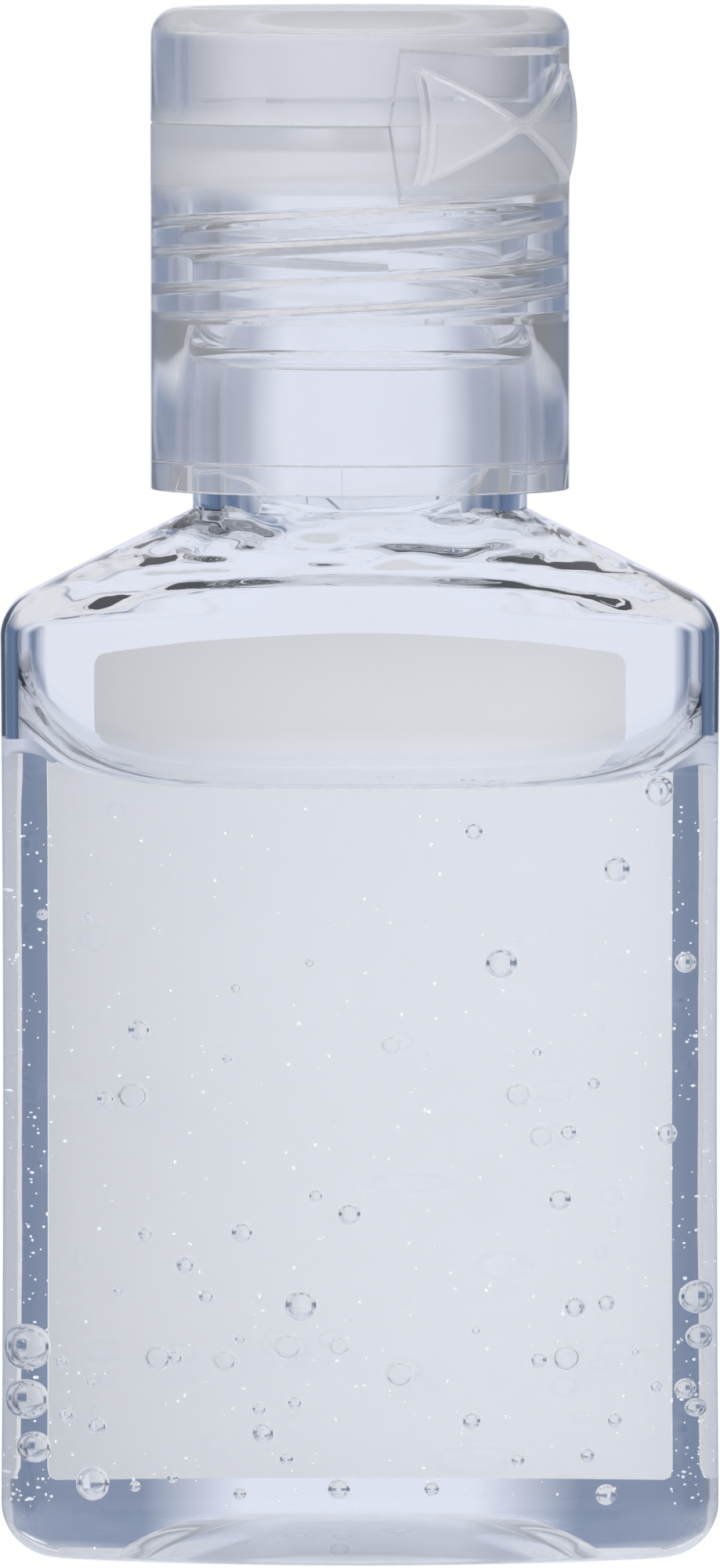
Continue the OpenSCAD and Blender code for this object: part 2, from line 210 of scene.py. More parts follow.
def smooth(a, b, value):
    t = max(0.0, min(1.0, (value - a) / (b - a)))
    return t * t * (3 - 2 * t)


def gathered(ring):
    """A ring of the shoulder's inside, moved in where the plastic gathered: in a ridge along the fold above
    the front and the back, and in long swirls on the slopes above it."""
    found = []
    for x, y, z in ring:
        over = z - fold_z + fold_fall * (x / half_w) ** 2
        out = smooth(gather_ends_from, gather_ends_to, abs(x) / half_w)
        ends = smooth(0, gather_fade, neck_base - z) * (1 - gather_ends * out)
        place = Vector((x / swirl_long, y / swirl_long, z / swirl_high))
        swirl = 0.5 + noise.noise(place) + 0.4 * noise.noise(2.3 * place)
        swirl *= smooth(-gather_below, gather_fade, over)
        thick = ends * (ridge * math.exp(-(over / ridge_half) ** 2) + swirl_in * swirl)
        reach = math.hypot(x, y)
        found.append((x - gather_slant * thick * x / reach, y - gather_slant * thick * y / reach,
                      z - gather_slant * thick))
    return np.array(found)


def neck_radius(z):
    """Outer radius of the neck round a ring at height z, with its bead and its right-hand thread."""
    up = z - neck_base - bead_up
    bead = bead_out * math.sqrt(max(0.0, 1 - (up / bead_half) ** 2))
    turns = ring_angle / (2 * math.pi)
    thread_z = neck_top - thread_down - thread_turns * thread_pitch
    radius = np.full(AROUND, neck_r + bead)
    for turn in range(math.ceil(thread_turns)):
        along = (turns + turn) / thread_turns
        centre = thread_z + (turns + turn) * thread_pitch
        flank = (thread_root / 2 - np.abs(z - centre)) / ((thread_root - thread_crest) / 2)
        ends = np.minimum(along, 1 - along) / thread_fade
        radius = np.maximum(radius, neck_r + thread_out * np.clip(np.minimum(flank, ends), 0, 1))
    return radius


def neck_rings():
    spans = [(0.0, bead_up - bead_half, 8), (bead_up - bead_half, bead_up + bead_half, 12),
             (bead_up + bead_half, neck_h - lip_round, 110)]
    heights = [neck_base + a + (b - a) * k / n for a, b, n in spans for k in range(n)]
    return [round_ring(z, neck_radius(z)) for z in heights]


def lip_rings(steps=8):
    """The rounded lip of the neck, over from the outside to the bore."""
    rings = []
    for k in range(steps + 1):
        a = math.pi * k / steps
        middle = neck_r - lip_round if a < math.pi / 2 else bore_r + lip_round
        rings.append(round_ring(neck_top - lip_round * (1 - math.sin(a)), middle + lip_round * math.cos(a)))
    return rings


def skin(name, rings, ends=None):
    """A closed mesh through rings of equal length, facing outwards: from one middle point to another where
    ends gives them, and otherwise round from the last ring to the first."""
    count = len(rings[0])
    points = np.concatenate(rings + ([np.array(ends)] if ends else []))
    start = np.arange(count)
    after = (start + 1) % count
    faces = []
    for k in range(len(rings) - 1 if ends else len(rings)):
        low_ring, high_ring = k * count, (k + 1) % len(rings) * count
        quads = [low_ring + start, low_ring + after, high_ring + after, high_ring + start]
        faces += np.stack(quads, 1).tolist()
    if ends:
        pole = len(rings) * count
        top = pole - count
        faces += np.stack([np.full(count, pole), after, start], 1).tolist()
        faces += np.stack([np.full(count, pole + 1), top + start, top + after], 1).tolist()
    mesh = bpy.data.meshes.new(name)
    mesh.from_pydata(points.tolist(), [], faces)
    mesh.shade_smooth()
    mesh.set_sharp_from_angle(angle=math.radians(50))
    piece = bpy.data.objects.new(name, mesh)
    scene.collection.objects.link(piece)
    return piece


class Finish:
    """A node material that is put together in few words."""

    def __init__(self, name):
        self.material = bpy.data.materials.new(name)
        self.material.use_nodes = True
        self.nodes = self.material.node_tree.nodes
        self.links = self.material.node_tree.links
        self.shader = self.nodes["Principled BSDF"]
        self.output = self.nodes["Material Output"]

    def add(self, kind, **inputs):
        """A node of a kind, with its sockets set or linked by name, and its other settings by keyword."""
        node = self.nodes.new(kind)
        for key, value in inputs.items():
            name = key.replace("_", " ")
            if name in node.inputs:
                self.join(value, node.inputs[name])
            else:
                setattr(node, key, value)
        return node

    def join(self, value, socket):
        if isinstance(value, bpy.types.NodeSocket):
            self.links.new(value, socket)
        else:
            socket.default_value = value

    def set(self, **inputs):
        for key, value in inputs.items():
            self.join(value, self.shader.inputs[key.replace("_", " ")])

    def place(self):
        return self.add("ShaderNodeTexCoord").outputs["Object"]

    def math(self, operation, *values):
        node = self.add("ShaderNodeMath", operation=operation)
        for value, socket in zip(values, node.inputs):
            self.join(value, socket)
        return node.outputs[0]

    def ramp(self, value, start, end, low=0.0, high=1.0):
        """Low where value is at start or before it, high from end on, and even in between."""
        return self.add("ShaderNodeMapRange", Value=value, From_Min=start, From_Max=end,
                        To_Min=low, To_Max=high).outputs[0]

    def scaled(self, colour, factor):
        node = self.add("ShaderNodeVectorMath", operation="SCALE", Scale=factor)
        node.inputs[0].default_value = colour
        return node.outputs[0]

    def mix(self, factor, first, second):
        """The first shader where factor is 0, and the second where it is 1."""
        node = self.nodes.new("ShaderNodeMixShader")
        for source, socket in zip((factor, first, second), node.inputs):
            self.links.new(source, socket)
        return node.outputs[0]

    def noise(self, scale, detail=2.0):
        """Noise on Object coordinates, scale in waves for each metre."""
        return self.add("ShaderNodeTexNoise", Vector=self.place(), Scale=scale, Detail=detail).outputs["Fac"]

    def bump(self, height, strength, distance):
        node = self.add("ShaderNodeBump", Height=height, Strength=strength, Distance=distance)
        self.links.new(node.outputs["Normal"], self.shader.inputs["Normal"])

    def let_lamps_through(self, tint):
        """Lamps reach what is behind this clear surface, dimmed by its tint, so its shadow is a soft one."""
        shadow = self.add("ShaderNodeLightPath").outputs["Is Shadow Ray"]
        through = self.add("ShaderNodeBsdfTransparent", Color=(*tint, 1)).outputs[0]
        self.links.new(self.mix(shadow, self.shader.outputs[0], through), self.output.inputs["Surface"])


def clear_plastic():
    """Clear blown plastic: hard and glossy, with the faint waves that blowing leaves, and a faint painted
    blue glow.
    """
    finish = Finish("clear_plastic")
    # The emission is painted light: a faint blue glow in the clear plastic.
    finish.set(Base_Color=(0.97, 0.98, 1.0, 1), Roughness=0.02, IOR=1.57, Transmission_Weight=1.0,
               Emission_Color=(0.55, 0.62, 0.75, 1), Emission_Strength=0.009)
    finish.bump(finish.noise(160, 1.0), 0.25, 0.05 * MM)
    finish.let_lamps_through((0.95, 0.96, 0.98))
    return finish.material


outside = (dome_rings(0, heel_r + foot_w) + [skin_ring(0, heel_r + foot_w)] + heel_rings(0)
           + wall_rings(0, shoulder_low) + shoulder_rings(0, neck_r, neck_base)[:-1]
           + neck_rings() + lip_rings())
inside = (dome_rings(wall, heel_r + foot_w) + [skin_ring(wall, heel_r + foot_w)] + heel_rings(wall)
          + wall_rings(wall, shoulder_low)
          + [gathered(ring) for ring in shoulder_rings(wall, bore_r, neck_base, 64)]
          + [round_ring(z, bore_r) for z in np.linspace(neck_base, neck_top - lip_round, 9)[1:-1]])
bottle = skin("bottle_blown", outside + inside[::-1], [(0, 0, push_up), (0, 0, wall + push_up)])
bottle.data.materials.append(clear_plastic())
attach(bottle, "bottle")
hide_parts("bottle")

# Gel. The contents cling to both ends of the bottle, and the surface turns up where it meets the wall.
# They touch the wall all over, so the gel reaches a hair into the plastic. Air bubbles hang in it.
gel_level = 36.9 * MM
climb_left = 2.4 * MM
climb_right = 0.6 * MM
gel_bite = 0.02 * MM
gel_ior = 1.37
cling_r, cling_r_end = 1.1 * MM, 4.4 * MM


def gel_top(x):
    climb = np.where(x < 0, climb_left, climb_right)
    return gel_level + climb * (np.abs(x) / half_w) ** 5


def gel_surface_rings(steps=44):
    """Rings over the free surface, from the wall to near the middle. It meets the wall in a round hollow,
    which is far wider at the ends of the bottle."""
    inset = wall - gel_bite + waist_at(gel_level)
    edge = outline(inset)
    rings = []
    for k in range(steps):
        s = 1 - (k / steps) ** 2
        x, y = edge[:, 0] * s, edge[:, 1] * s
        gap = np.linalg.norm(edge, axis=1) * (1 - s)
        r = cling_r + (cling_r_end - cling_r) * (np.abs(edge[:, 0]) / edge[:, 0].max()) ** 4
        z = gel_top(x) + r - np.sqrt(r * r - np.maximum(r - gap, 0) ** 2)
        rings.append(np.stack([x, y, z], 1))
    return rings


def gel_finish():
    """Alcohol gel: clear, with a faint blue cast and slow streaks."""
    finish = Finish("clear_gel")
    finish.set(Base_Color=(0.98, 0.985, 1.0, 1), Roughness=0.0, IOR=gel_ior, Transmission_Weight=1.0)
    finish.bump(finish.noise(220, 2.0), 0.15, 0.04 * MM)
    finish.let_lamps_through((0.99, 0.99, 1.0))
    return finish.material


gel_inset = wall - gel_bite
gel_rings = (dome_rings(gel_inset, heel_r + foot_w) + [skin_ring(gel_inset, heel_r + foot_w)]
             + heel_rings(gel_inset) + wall_rings(gel_inset, gel_level - 1.5 * MM))
gel = skin("gel_fill", gel_rings + gel_surface_rings(), [(0, 0, gel_inset + push_up), (0, 0, gel_level)])
gel.data.materials.append(gel_finish())
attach(gel, "bottle")
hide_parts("gel")

# Air bubbles. Big ones stand where the filling left them: against the front, where they show sharply,
# along the left end, and faint ones near the label. Fine ones hang all through the gel, most of them low.
# Each entry is the place across, the height and the radius as the front shows them, in millimetres.
front_bubbles = [
    (14.2, 36.5, 0.75), (5.4, 34.6, 0.41), (12.2, 32.8, 0.64), (-15.1, 30.6, 0.26), (-12.9, 30.5, 0.22),
    (6.7, 28.3, 0.75), (15.5, 28.3, 0.49), (-2.4, 28.3, 0.19), (-5.9, 27.1, 0.22), (-10.5, 25.1, 0.52),
    (8.4, 24.0, 0.22), (-6.3, 23.7, 0.22), (11.1, 22.5, 0.30), (-12.1, 21.8, 0.41), (9.9, 20.2, 0.37),
    (14.6, 20.1, 0.52), (-2.1, 17.2, 0.30), (9.5, 17.0, 0.52), (-0.5, 16.3, 0.52), (-5.6, 15.4, 0.49),
    (-10.2, 15.3, 0.34), (-8.3, 13.8, 0.41), (-11.5, 12.6, 0.22), (-7.3, 12.3, 0.34), (11.7, 12.0, 0.41),
    (-2.8, 11.9, 0.75), (10.2, 11.8, 0.49), (5.5, 10.7, 0.19), (-5.7, 10.3, 0.22), (13.1, 9.7, 0.19),
    (-8.8, 9.4, 0.34), (8.5, 9.3, 0.37), (-14.2, 9.2, 0.30), (-12.8, 8.2, 0.19), (14.1, 8.0, 0.30),
    (15.5, 7.9, 0.49), (-3.1, 7.3, 0.30), (-4.8, 7.0, 0.30), (-14.0, 6.7, 0.37), (5.3, 6.4, 0.41),
    (12.1, 6.4, 0.34), (-12.5, 6.1, 0.45), (-4.6, 5.8, 0.49), (10.8, 4.7, 0.34), (-3.5, 4.6, 0.30),
    (7.5, 4.5, 0.30), (-8.9, 3.7, 0.26), (-12.7, 3.4, 0.82), (-10.7, 3.3, 0.26), (-1.0, 3.2, 0.49),
    (3.4, 3.1, 0.34), (-5.7, 2.9, 0.30), (11.7, 2.9, 0.49)]
end_bubbles = [
    (-15.9, 9.9, 1.10), (-15.9, 7.4, 0.95), (-15.5, 5.1, 0.75), (16.1, 12.3, 0.80), (16.2, 10.4, 0.60),
    (16.0, 7.0, 0.45)]
back_bubbles = [
    (1.5, 24.6, 0.45), (-10.9, 22.1, 0.71), (7.6, 22.2, 0.60), (8.7, 20.2, 0.56), (-3.5, 10.2, 0.64),
    (-1.0, 10.2, 0.45), (9.9, 9.6, 0.64), (-9.7, 9.6, 0.60), (-6.5, 9.5, 0.52), (1.9, 8.9, 0.64)]
fine_seed = 11
fine_count = 900
fine_inset = 1.1 * MM
fine_r, fine_r_more = 0.035, 0.055
fine_at_ends, fine_end_w = 0.6, 1.8 * MM


def behind_front(x, z, share):
    """The point at a share of the depth on the sight line that meets the front at x and height z."""
    if abs(x) < face_r * math.sin(face_angle):
        turn = math.asin(x / face_r)
        front = face_r - half_d - face_r * math.cos(turn)
    else:
        reach = min(abs(x) - (half_w - corner_r), 0.98 * corner_r)
        turn = math.copysign(math.asin(reach / corner_r), x)
        front = -flat_y - corner_r * math.cos(turn)
    bend = turn - math.asin(math.sin(turn) / gel_ior)
    y = front + wall - 2 * share * front
    fall = (camera_height - z) / camera_distance
    return Vector((x - math.tan(bend) * (y - front), y, z - y * fall))


class Shape:
    """A Geometry Nodes tree with named inputs, which turns a piece's mesh into the finished one."""

    def __init__(self, name, **sizes):
        self.tree = bpy.data.node_groups.new(name, "GeometryNodeTree")
        sides = self.tree.interface
        sides.new_socket("Geometry", in_out="INPUT", socket_type="NodeSocketGeometry")
        sides.new_socket("Geometry", in_out="OUTPUT", socket_type="NodeSocketGeometry")
        kinds = {int: "NodeSocketInt", float: "NodeSocketFloat", bpy.types.Material: "NodeSocketMaterial"}
        self.values = {}
        for key, value in sizes.items():
            label = key.replace("_", " ")
            socket = sides.new_socket(label, in_out="INPUT", socket_type=kinds[type(value)])
            self.values[socket.identifier] = value
        self.inputs = self.tree.nodes.new("NodeGroupInput").outputs
        self.end = self.tree.nodes.new("NodeGroupOutput")

    def add(self, kind, *inputs, **named):
        """A node of a kind: sockets set or linked in their order, then sockets and settings by name."""
        node = self.tree.nodes.new(kind)
        for key, value in named.items():
            if key.replace("_", " ") not in node.inputs:
                setattr(node, key, value)
        for key, value in named.items():
            if key.replace("_", " ") in node.inputs:
                self.join(value, node.inputs[key.replace("_", " ")])
        for value, socket in zip(inputs, [socket for socket in node.inputs if socket.enabled]):
            if value is not None:
                self.join(value, socket)
        return next(socket for socket in node.outputs if socket.enabled)

    def join(self, value, socket):
        if isinstance(value, bpy.types.NodeSocket):
            self.tree.links.new(value, socket)
        else:
            socket.default_value = value

    def finish(self, geometry, material):
        """Realize Instances and Set Material, then the output."""
        real = self.add("GeometryNodeRealizeInstances", geometry)
        real = self.add("GeometryNodeSetMaterial", real, Material=material)
        self.join(real, self.end.inputs[0])

    def make(self, piece):
        """Runs the tree on a piece and leaves the result as its plain mesh."""
        modifier = piece.modifiers.new(self.tree.name, "NODES")
        modifier.node_group = self.tree
        for identifier, value in self.values.items():
            modifier[identifier] = value
        bpy.context.view_layer.update()
        shaped = piece.evaluated_get(bpy.context.evaluated_depsgraph_get())
        mesh = bpy.data.meshes.new_from_object(shaped)
        piece.modifiers.remove(modifier)
        piece.data = mesh
        mesh.name = piece.name


def bubble_points():
    """Where each bubble is, and its radius."""
    draw = random.Random(fine_seed)
    found = []
    for bubbles, nearest, furthest in ((front_bubbles, 0.08, 0.30), (end_bubbles, 0.16, 0.20),
                                       (back_bubbles, 0.78, 0.88)):
        for x, z, r in bubbles:
            place = behind_front(x * MM, z * MM, draw.uniform(nearest, furthest))
            found.append((place, r * MM))
    fine = 0
    while fine < fine_count:
        x = draw.uniform(-1, 1) * (half_w - fine_inset)
        if draw.random() < fine_at_ends:
            x = math.copysign(half_w - fine_inset - fine_end_w * draw.random(), x)
        z = heel_r + (gel_level - heel_r) * draw.random() ** 1.25
        depth = half_d - face_r + math.sqrt(face_r ** 2 - min(abs(x), face_r) ** 2) - fine_inset
        if abs(x) > half_w - corner_r:
            corner = math.sqrt(corner_r ** 2 - (abs(x) - half_w + corner_r) ** 2)
            depth = min(depth, flat_y + corner - fine_inset)
        place = Vector((x, draw.uniform(-1, 1) * depth, z))
        r = (fine_r + fine_r_more * draw.random() ** 2) * MM
        if z < gel_level - MM and all((place - other).length > r + size for other, size in found):
            found.append((place, r))
            fine += 1
    return found


def air_finish(name, clear):
    """The inside of a bubble: light passes from gel to air, so the surface bends it the other way. Where it
    is less than clear it scatters light, as fine foam does."""
    finish = Finish(name)
    finish.set(Base_Color=(1, 1, 1, 1), Roughness=0.0, IOR=1 / gel_ior, Transmission_Weight=clear)
    finish.let_lamps_through((0.97, 0.975, 0.985))
    return finish.material


def bubbles(name, points, smoothness, clear):
    """Round bubbles on points, each of its own radius."""
    mesh = bpy.data.meshes.new(name)
    mesh.from_pydata([place for place, r in points], [], [])
    size = mesh.attributes.new("bubble_r", "FLOAT", "POINT")
    size.data.foreach_set("value", [r for place, r in points])
    piece = bpy.data.objects.new(name, mesh)
    scene.collection.objects.link(piece)
    shape = Shape(name, Smoothness=smoothness, Finish=air_finish(name, clear))
    ball = shape.add("GeometryNodeMeshIcoSphere", 1.0, shape.inputs["Smoothness"])
    ball = shape.add("GeometryNodeSetShadeSmooth", ball)
    radius = shape.add("GeometryNodeInputNamedAttribute", "bubble_r", data_type="FLOAT")
    placed = shape.add("GeometryNodeMeshToPoints", shape.inputs["Geometry"])
    made = shape.add("GeometryNodeInstanceOnPoints", placed, Instance=ball, Scale=radius)
    shape.finish(made, shape.inputs["Finish"])
    shape.make(piece)
    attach(piece, "bottle")


all_bubbles = bubble_points()
bubbles("gel_bubbles", all_bubbles[:-fine_count], 4, 1.0)
bubbles("fine_gel_bubbles", all_bubbles[-fine_count:], 2, 0.4)

# Back label. A pale film with round corners, stuck to the back of the bottle, so its glued side shows
# through the gel from the front.
film_low, film_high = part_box("back_label")
film_t = 0.1 * MM
film_bite = 0.02 * MM
film_corner = 0.5 * MM
film_arch = 0.9 * MM
film_white = (0.90, 0.885, 0.848)
# Painted shade darkens the label above the gel level, and painted light brightens it towards its foot.
headspace_painted_shade, headspace_shade_fade = 0.80, 2 * MM
foot_painted_light, foot_light_low, foot_light_high = 1.08, 4 * MM, 22 * MM


def solid(name, layers):
    """A closed mesh from layers of points in rows: the first layer, the last one and the band between."""
    rows, across = layers[0].shape[:2]
    count = rows * across
    grid = np.arange(count).reshape(rows, across)
    quads = np.stack([grid[:-1, :-1], grid[:-1, 1:], grid[1:, 1:], grid[1:, :-1]], -1).reshape(-1, 4)
    rim = np.concatenate([grid[0, :-1], grid[:-1, -1], grid[-1, :0:-1], grid[:0:-1, 0]])
    band = np.stack([rim, rim + count, np.roll(rim, -1) + count, np.roll(rim, -1)], 1)
    mesh = bpy.data.meshes.new(name)
    mesh.from_pydata(np.concatenate([layer.reshape(-1, 3) for layer in layers]).tolist(), [],
                     quads.tolist() + (quads[:, ::-1] + count).tolist() + band.tolist())
    piece = bpy.data.objects.new(name, mesh)
    scene.collection.objects.link(piece)
    form = bmesh.new()
    form.from_mesh(mesh)
    bmesh.ops.recalc_face_normals(form, faces=form.faces)
    form.to_mesh(mesh)
    form.free()
    return piece


def film_sheet(across=64, up=72):
    """The film as a bent sheet with thickness, its corners rounded, on the curve of the back."""
    half = film_high.x
    middle_z = (film_low.z + film_high.z) / 2
    half_h = (film_high.z - film_low.z) / 2
    u = np.linspace(-1, 1, across + 1)
    v = np.linspace(-1, 1, up + 1)
    uu, vv = np.meshgrid(u * half, v * half_h)
    dx = np.maximum(np.abs(uu) - (half - film_corner), 0)
    dz = np.maximum(np.abs(vv) - (half_h - film_corner), 0)
    over = np.maximum(np.hypot(dx, dz) - film_corner, 0)
    reach = np.maximum(np.hypot(dx, dz), 1e-9)
    x = uu - np.sign(uu) * dx / reach * over
    z = middle_z + vv - np.sign(vv) * dz / reach * over
    z = z - film_arch * (x / half) ** 2 * np.maximum(vv / half_h, 0) ** 4
    dent = np.array([waist_at(h) for h in z.ravel()]).reshape(z.shape)
    sheets = []
    for out in (film_t - film_bite, -film_bite):
        r = face_r + out - dent
        sheets.append(np.stack([x, half_d - face_r + np.sqrt(r * r - x * x), z], -1))
    piece = solid("label_film", sheets)
    piece.data.shade_smooth()
    piece.data.set_sharp_from_angle(angle=math.radians(40))
    return piece


def film_finish():
    """Satin plastic film, faintly uneven in tone, with painted shade above the gel level and painted light
    towards its foot.
    """
    finish = Finish("label_film")
    uneven = finish.ramp(finish.noise(90, 3.0), 0, 1, 0.98, 1.02)
    up = finish.add("ShaderNodeSeparateXYZ", Vector=finish.place()).outputs["Z"]
    # Painted shade above the gel and painted light low on the film, multiplied into its colour together with
    # its uneven tone.
    headspace_shade = finish.ramp(up, gel_level, gel_level + headspace_shade_fade, 1.0, headspace_painted_shade)
    foot = finish.ramp(up, foot_light_low, foot_light_high, foot_painted_light, 1.0)
    tone = finish.math("MULTIPLY", uneven, finish.math("MULTIPLY", headspace_shade, foot))
    finish.set(Base_Color=finish.scaled(film_white, tone), Roughness=0.5)
    finish.bump(finish.noise(1500, 2.0), 0.1, 0.01 * MM)
    return finish.material


label = film_sheet()
label.data.materials.append(film_finish())
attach(label, "bottle")
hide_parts("back_label")

# Cap, below the parting line. A moulding of milky plastic: a screw skirt with ratchet notches in its rim
# and a thread inside, and a deck with a snap rim, a sealing plug and a spout.
rim_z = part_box("cap_base")[0].z
part_z, lid_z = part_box("cap_lid")[0].z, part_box("cap_lid")[1].z
cap_r = 10.0 * MM
cap_wall = 1.15 * MM
edge_round = 0.13 * MM
step_h, step_in = 1.42 * MM, 0.22 * MM
snap_r, snap_wall, snap_h = 8.3 * MM, 0.9 * MM, 1.15 * MM
spout_r, spout_h, hole_r = 1.9 * MM, 1.7 * MM, 0.8 * MM
plug_clear, plug_wall, plug_h = 0.12 * MM, 0.8 * MM, 2.2 * MM
deck_seat = 0.02 * MM
inner_thread_crest = 8.72 * MM
inner_thread_root = 9.2 * MM
inner_thread_low, inner_thread_high = 58.9 * MM, 66.2 * MM
notches, notch_h, notch_w, notch_ramp, notch_in = 7, 1.3 * MM, 2.3 * MM, 1.0 * MM, 0.8 * MM
last_notch = math.radians(-5.2)
hinge_az = math.radians(47.5)
hinge_half_w, hinge_half_h = 5.2 * MM, 2.85 * MM
pocket_in, pocket_margin, pocket_flare = 0.4 * MM, 0.45 * MM, 1.0
scoop_w, scoop_h, scoop_in = 9.0 * MM, 2.2 * MM, 0.55 * MM
deck_middle, deck_milky, deck_clear = 67.0 * MM, 1.2 * MM, 2.6 * MM
inner_milky, inner_clear = 8.1 * MM, 8.3 * MM
clear_rough, top_rough, inner_rough, deck_rough = 0.03, 0.15, 0.20, 0.34
top_milky, top_clear = 1.0 * MM, 1.5 * MM
milky_white = (0.93, 0.935, 0.96)
groove_from, groove_rise, groove_fade = 0.30, 0.28, 0.5 * MM


def rounded(points, radius, closed=True, steps=4):
    """A section, as points (r, z), with each corner rounded by up to radius."""
    count = len(points)
    found = []
    for k, point in enumerate(points):
        if not closed and k in (0, count - 1):
            found.append(tuple(point))
            continue
        before, corner, after = (Vector(points[j % count]) for j in (k - 1, k, k + 1))
        cut = min(radius, (before - corner).length / 2.1, (after - corner).length / 2.1)
        first = corner + (before - corner).normalized() * cut
        last = corner + (after - corner).normalized() * cut
        for j in range(steps + 1):
            t = j / steps
            found.append(tuple((1 - t) ** 2 * first + 2 * t * (1 - t) * corner + t * t * last))
    return found


def cap_base_section():
    inner_r, plug_r = cap_r - cap_wall, bore_r - plug_clear
    step_r = inner_r + step_in
    under, snap_z, spout_z = neck_top + deck_seat, part_z + snap_h, part_z + spout_h
    return rounded([
        (cap_r, rim_z), (cap_r, part_z), (snap_r, part_z), (snap_r, snap_z),
        (snap_r - snap_wall, snap_z), (snap_r - snap_wall, part_z),
        (spout_r, part_z), (spout_r, spout_z), (hole_r, spout_z), (hole_r, under),
        (plug_r - plug_wall, under), (plug_r - plug_wall, under - plug_h), (plug_r, under - plug_h),
        (plug_r, under), (inner_r, under), (inner_r, rim_z + step_h), (step_r, rim_z + step_h),
        (step_r, rim_z)], edge_round)


def inner_thread_radius(z, plain):
    """Inner radius of the skirt round a ring at height z: broad grooves between the turns of the thread."""
    turn = (z - inner_thread_low) / thread_pitch - ring_angle / (2 * math.pi)
    off = 2 * np.abs(turn - np.floor(turn) - 0.5)
    rise = np.clip((off - groove_from) / groove_rise, 0, 1)
    shape = inner_thread_crest + (inner_thread_root - inner_thread_crest) * rise * rise * (3 - 2 * rise)
    ends = np.clip(min(z - inner_thread_low, inner_thread_high - z) / groove_fade, 0, 1)
    return plain + (shape - plain) * ends


def cap_base_rings(steps=84):
    section = cap_base_section()
    rings = []
    for k, (r, z) in enumerate(section):
        rings.append(round_ring(z, r))
        next_z = section[(k + 1) % len(section)][1]
        if z - next_z > inner_thread_high - inner_thread_low:
            for height in np.linspace(inner_thread_high, inner_thread_low, steps):
                rings.append(round_ring(height, inner_thread_radius(height, r)))
    return rings


def on_wall(u, v, r):
    """Points on the cap at radius r, u across and v up from the middle of the hinge."""
    out = -np.sqrt(r * r - u * u)
    turn_x, turn_y = math.cos(hinge_az), math.sin(hinge_az)
    return np.stack([u * turn_x - out * turn_y, u * turn_y + out * turn_x, part_z + v], -1)


def pocket_cutter(up):
    """The space of the pocket round the hinge: above the parting line for up = 1, below it for up = -1."""
    layers = []
    for out in (-pocket_in, MM):
        flare = pocket_flare * (out + pocket_in)
        far = hinge_half_h + pocket_margin + flare
        v = np.linspace(-0.3 * MM, far, 12)[:, None]
        half = hinge_half_w + pocket_margin * (1.8 - 0.9 * np.maximum(v, 0) / far) + flare
        u = half * np.linspace(-1, 1, 40)[None, :]
        layers.append(on_wall(u, up * np.broadcast_to(v, u.shape), cap_r + out))
    return solid("pocket_cutter", layers)


def scoop_cutter():
    """The space of the thumb scoop, a shallow round-bottomed cut opposite the hinge."""
    arc_r = ((scoop_w / 2) ** 2 + scoop_h ** 2) / (2 * scoop_h)
    u = (scoop_w / 2 * np.linspace(-1, 1, 33))[None, :]
    low_edge = arc_r - scoop_h - np.sqrt(arc_r ** 2 - u ** 2)
    t = np.linspace(0, 1, 3)[:, None]
    v = low_edge * (1 - t) + 0.3 * MM * t
    layers = []
    for out in (cap_r - scoop_in, cap_r + MM):
        away = hinge_az + math.pi
        x, y = np.broadcast_to(u, v.shape), np.full(v.shape, -out)
        layers.append(np.stack([x * math.cos(away) - y * math.sin(away),
                                x * math.sin(away) + y * math.cos(away), part_z + v], -1))
    return solid("scoop_cutter", layers)


def notch_cutters():
    """One ratchet notch, repeated round the rim: it rises along a ramp and ends in an upright face."""
    past = 0.2 * MM
    low, top = np.array([-notch_w, 0.0]), np.array([notch_ramp - notch_w, 0.0])
    u = np.stack([low, top])
    v = np.array([[-past, -past], [notch_h, notch_h]])
    layers = [np.stack([u, np.full(u.shape, -out), rim_z + v], -1)
              for out in (cap_r - cap_wall - MM, cap_r - cap_wall + notch_in)]
    piece = solid("notch_cutters", layers)
    shape = Shape("ratchet_notches", Count=notches, First_angle=last_notch, Finish=cap_milk)
    turn = shape.add("ShaderNodeMath", 2 * math.pi, shape.inputs["Count"], operation="DIVIDE")
    turn = shape.add("ShaderNodeMath", shape.add("GeometryNodeInputIndex"), turn, operation="MULTIPLY")
    turn = shape.add("ShaderNodeMath", turn, shape.inputs["First angle"], operation="ADD")
    turn = shape.add("ShaderNodeCombineXYZ", 0.0, 0.0, turn)
    places = shape.add("GeometryNodeMeshLine", Count=shape.inputs["Count"], Offset=(0, 0, 0))
    made = shape.add("GeometryNodeInstanceOnPoints", places, Instance=shape.inputs["Geometry"],
                     Rotation=shape.add("FunctionNodeEulerToRotation", turn))
    shape.finish(made, shape.inputs["Finish"])
    shape.make(piece)
    return piece


def cut(piece, *cutters):
    """Takes the cutters' space out of a piece, and leaves the piece as a plain mesh."""
    for cutter in cutters:
        modifier = piece.modifiers.new("cut", "BOOLEAN")
        modifier.operation = "DIFFERENCE"
        modifier.solver = "EXACT"
        modifier.object = cutter
    bpy.context.view_layer.update()
    shaped = piece.evaluated_get(bpy.context.evaluated_depsgraph_get())
    mesh = bpy.data.meshes.new_from_object(shaped)
    piece.modifiers.clear()
    piece.data = mesh
    for cutter in cutters:
        bpy.data.objects.remove(cutter)
    mesh.materials.clear()
    mesh.materials.append(cap_milk)
    mesh.shade_smooth()
    mesh.set_sharp_from_angle(angle=math.radians(38))


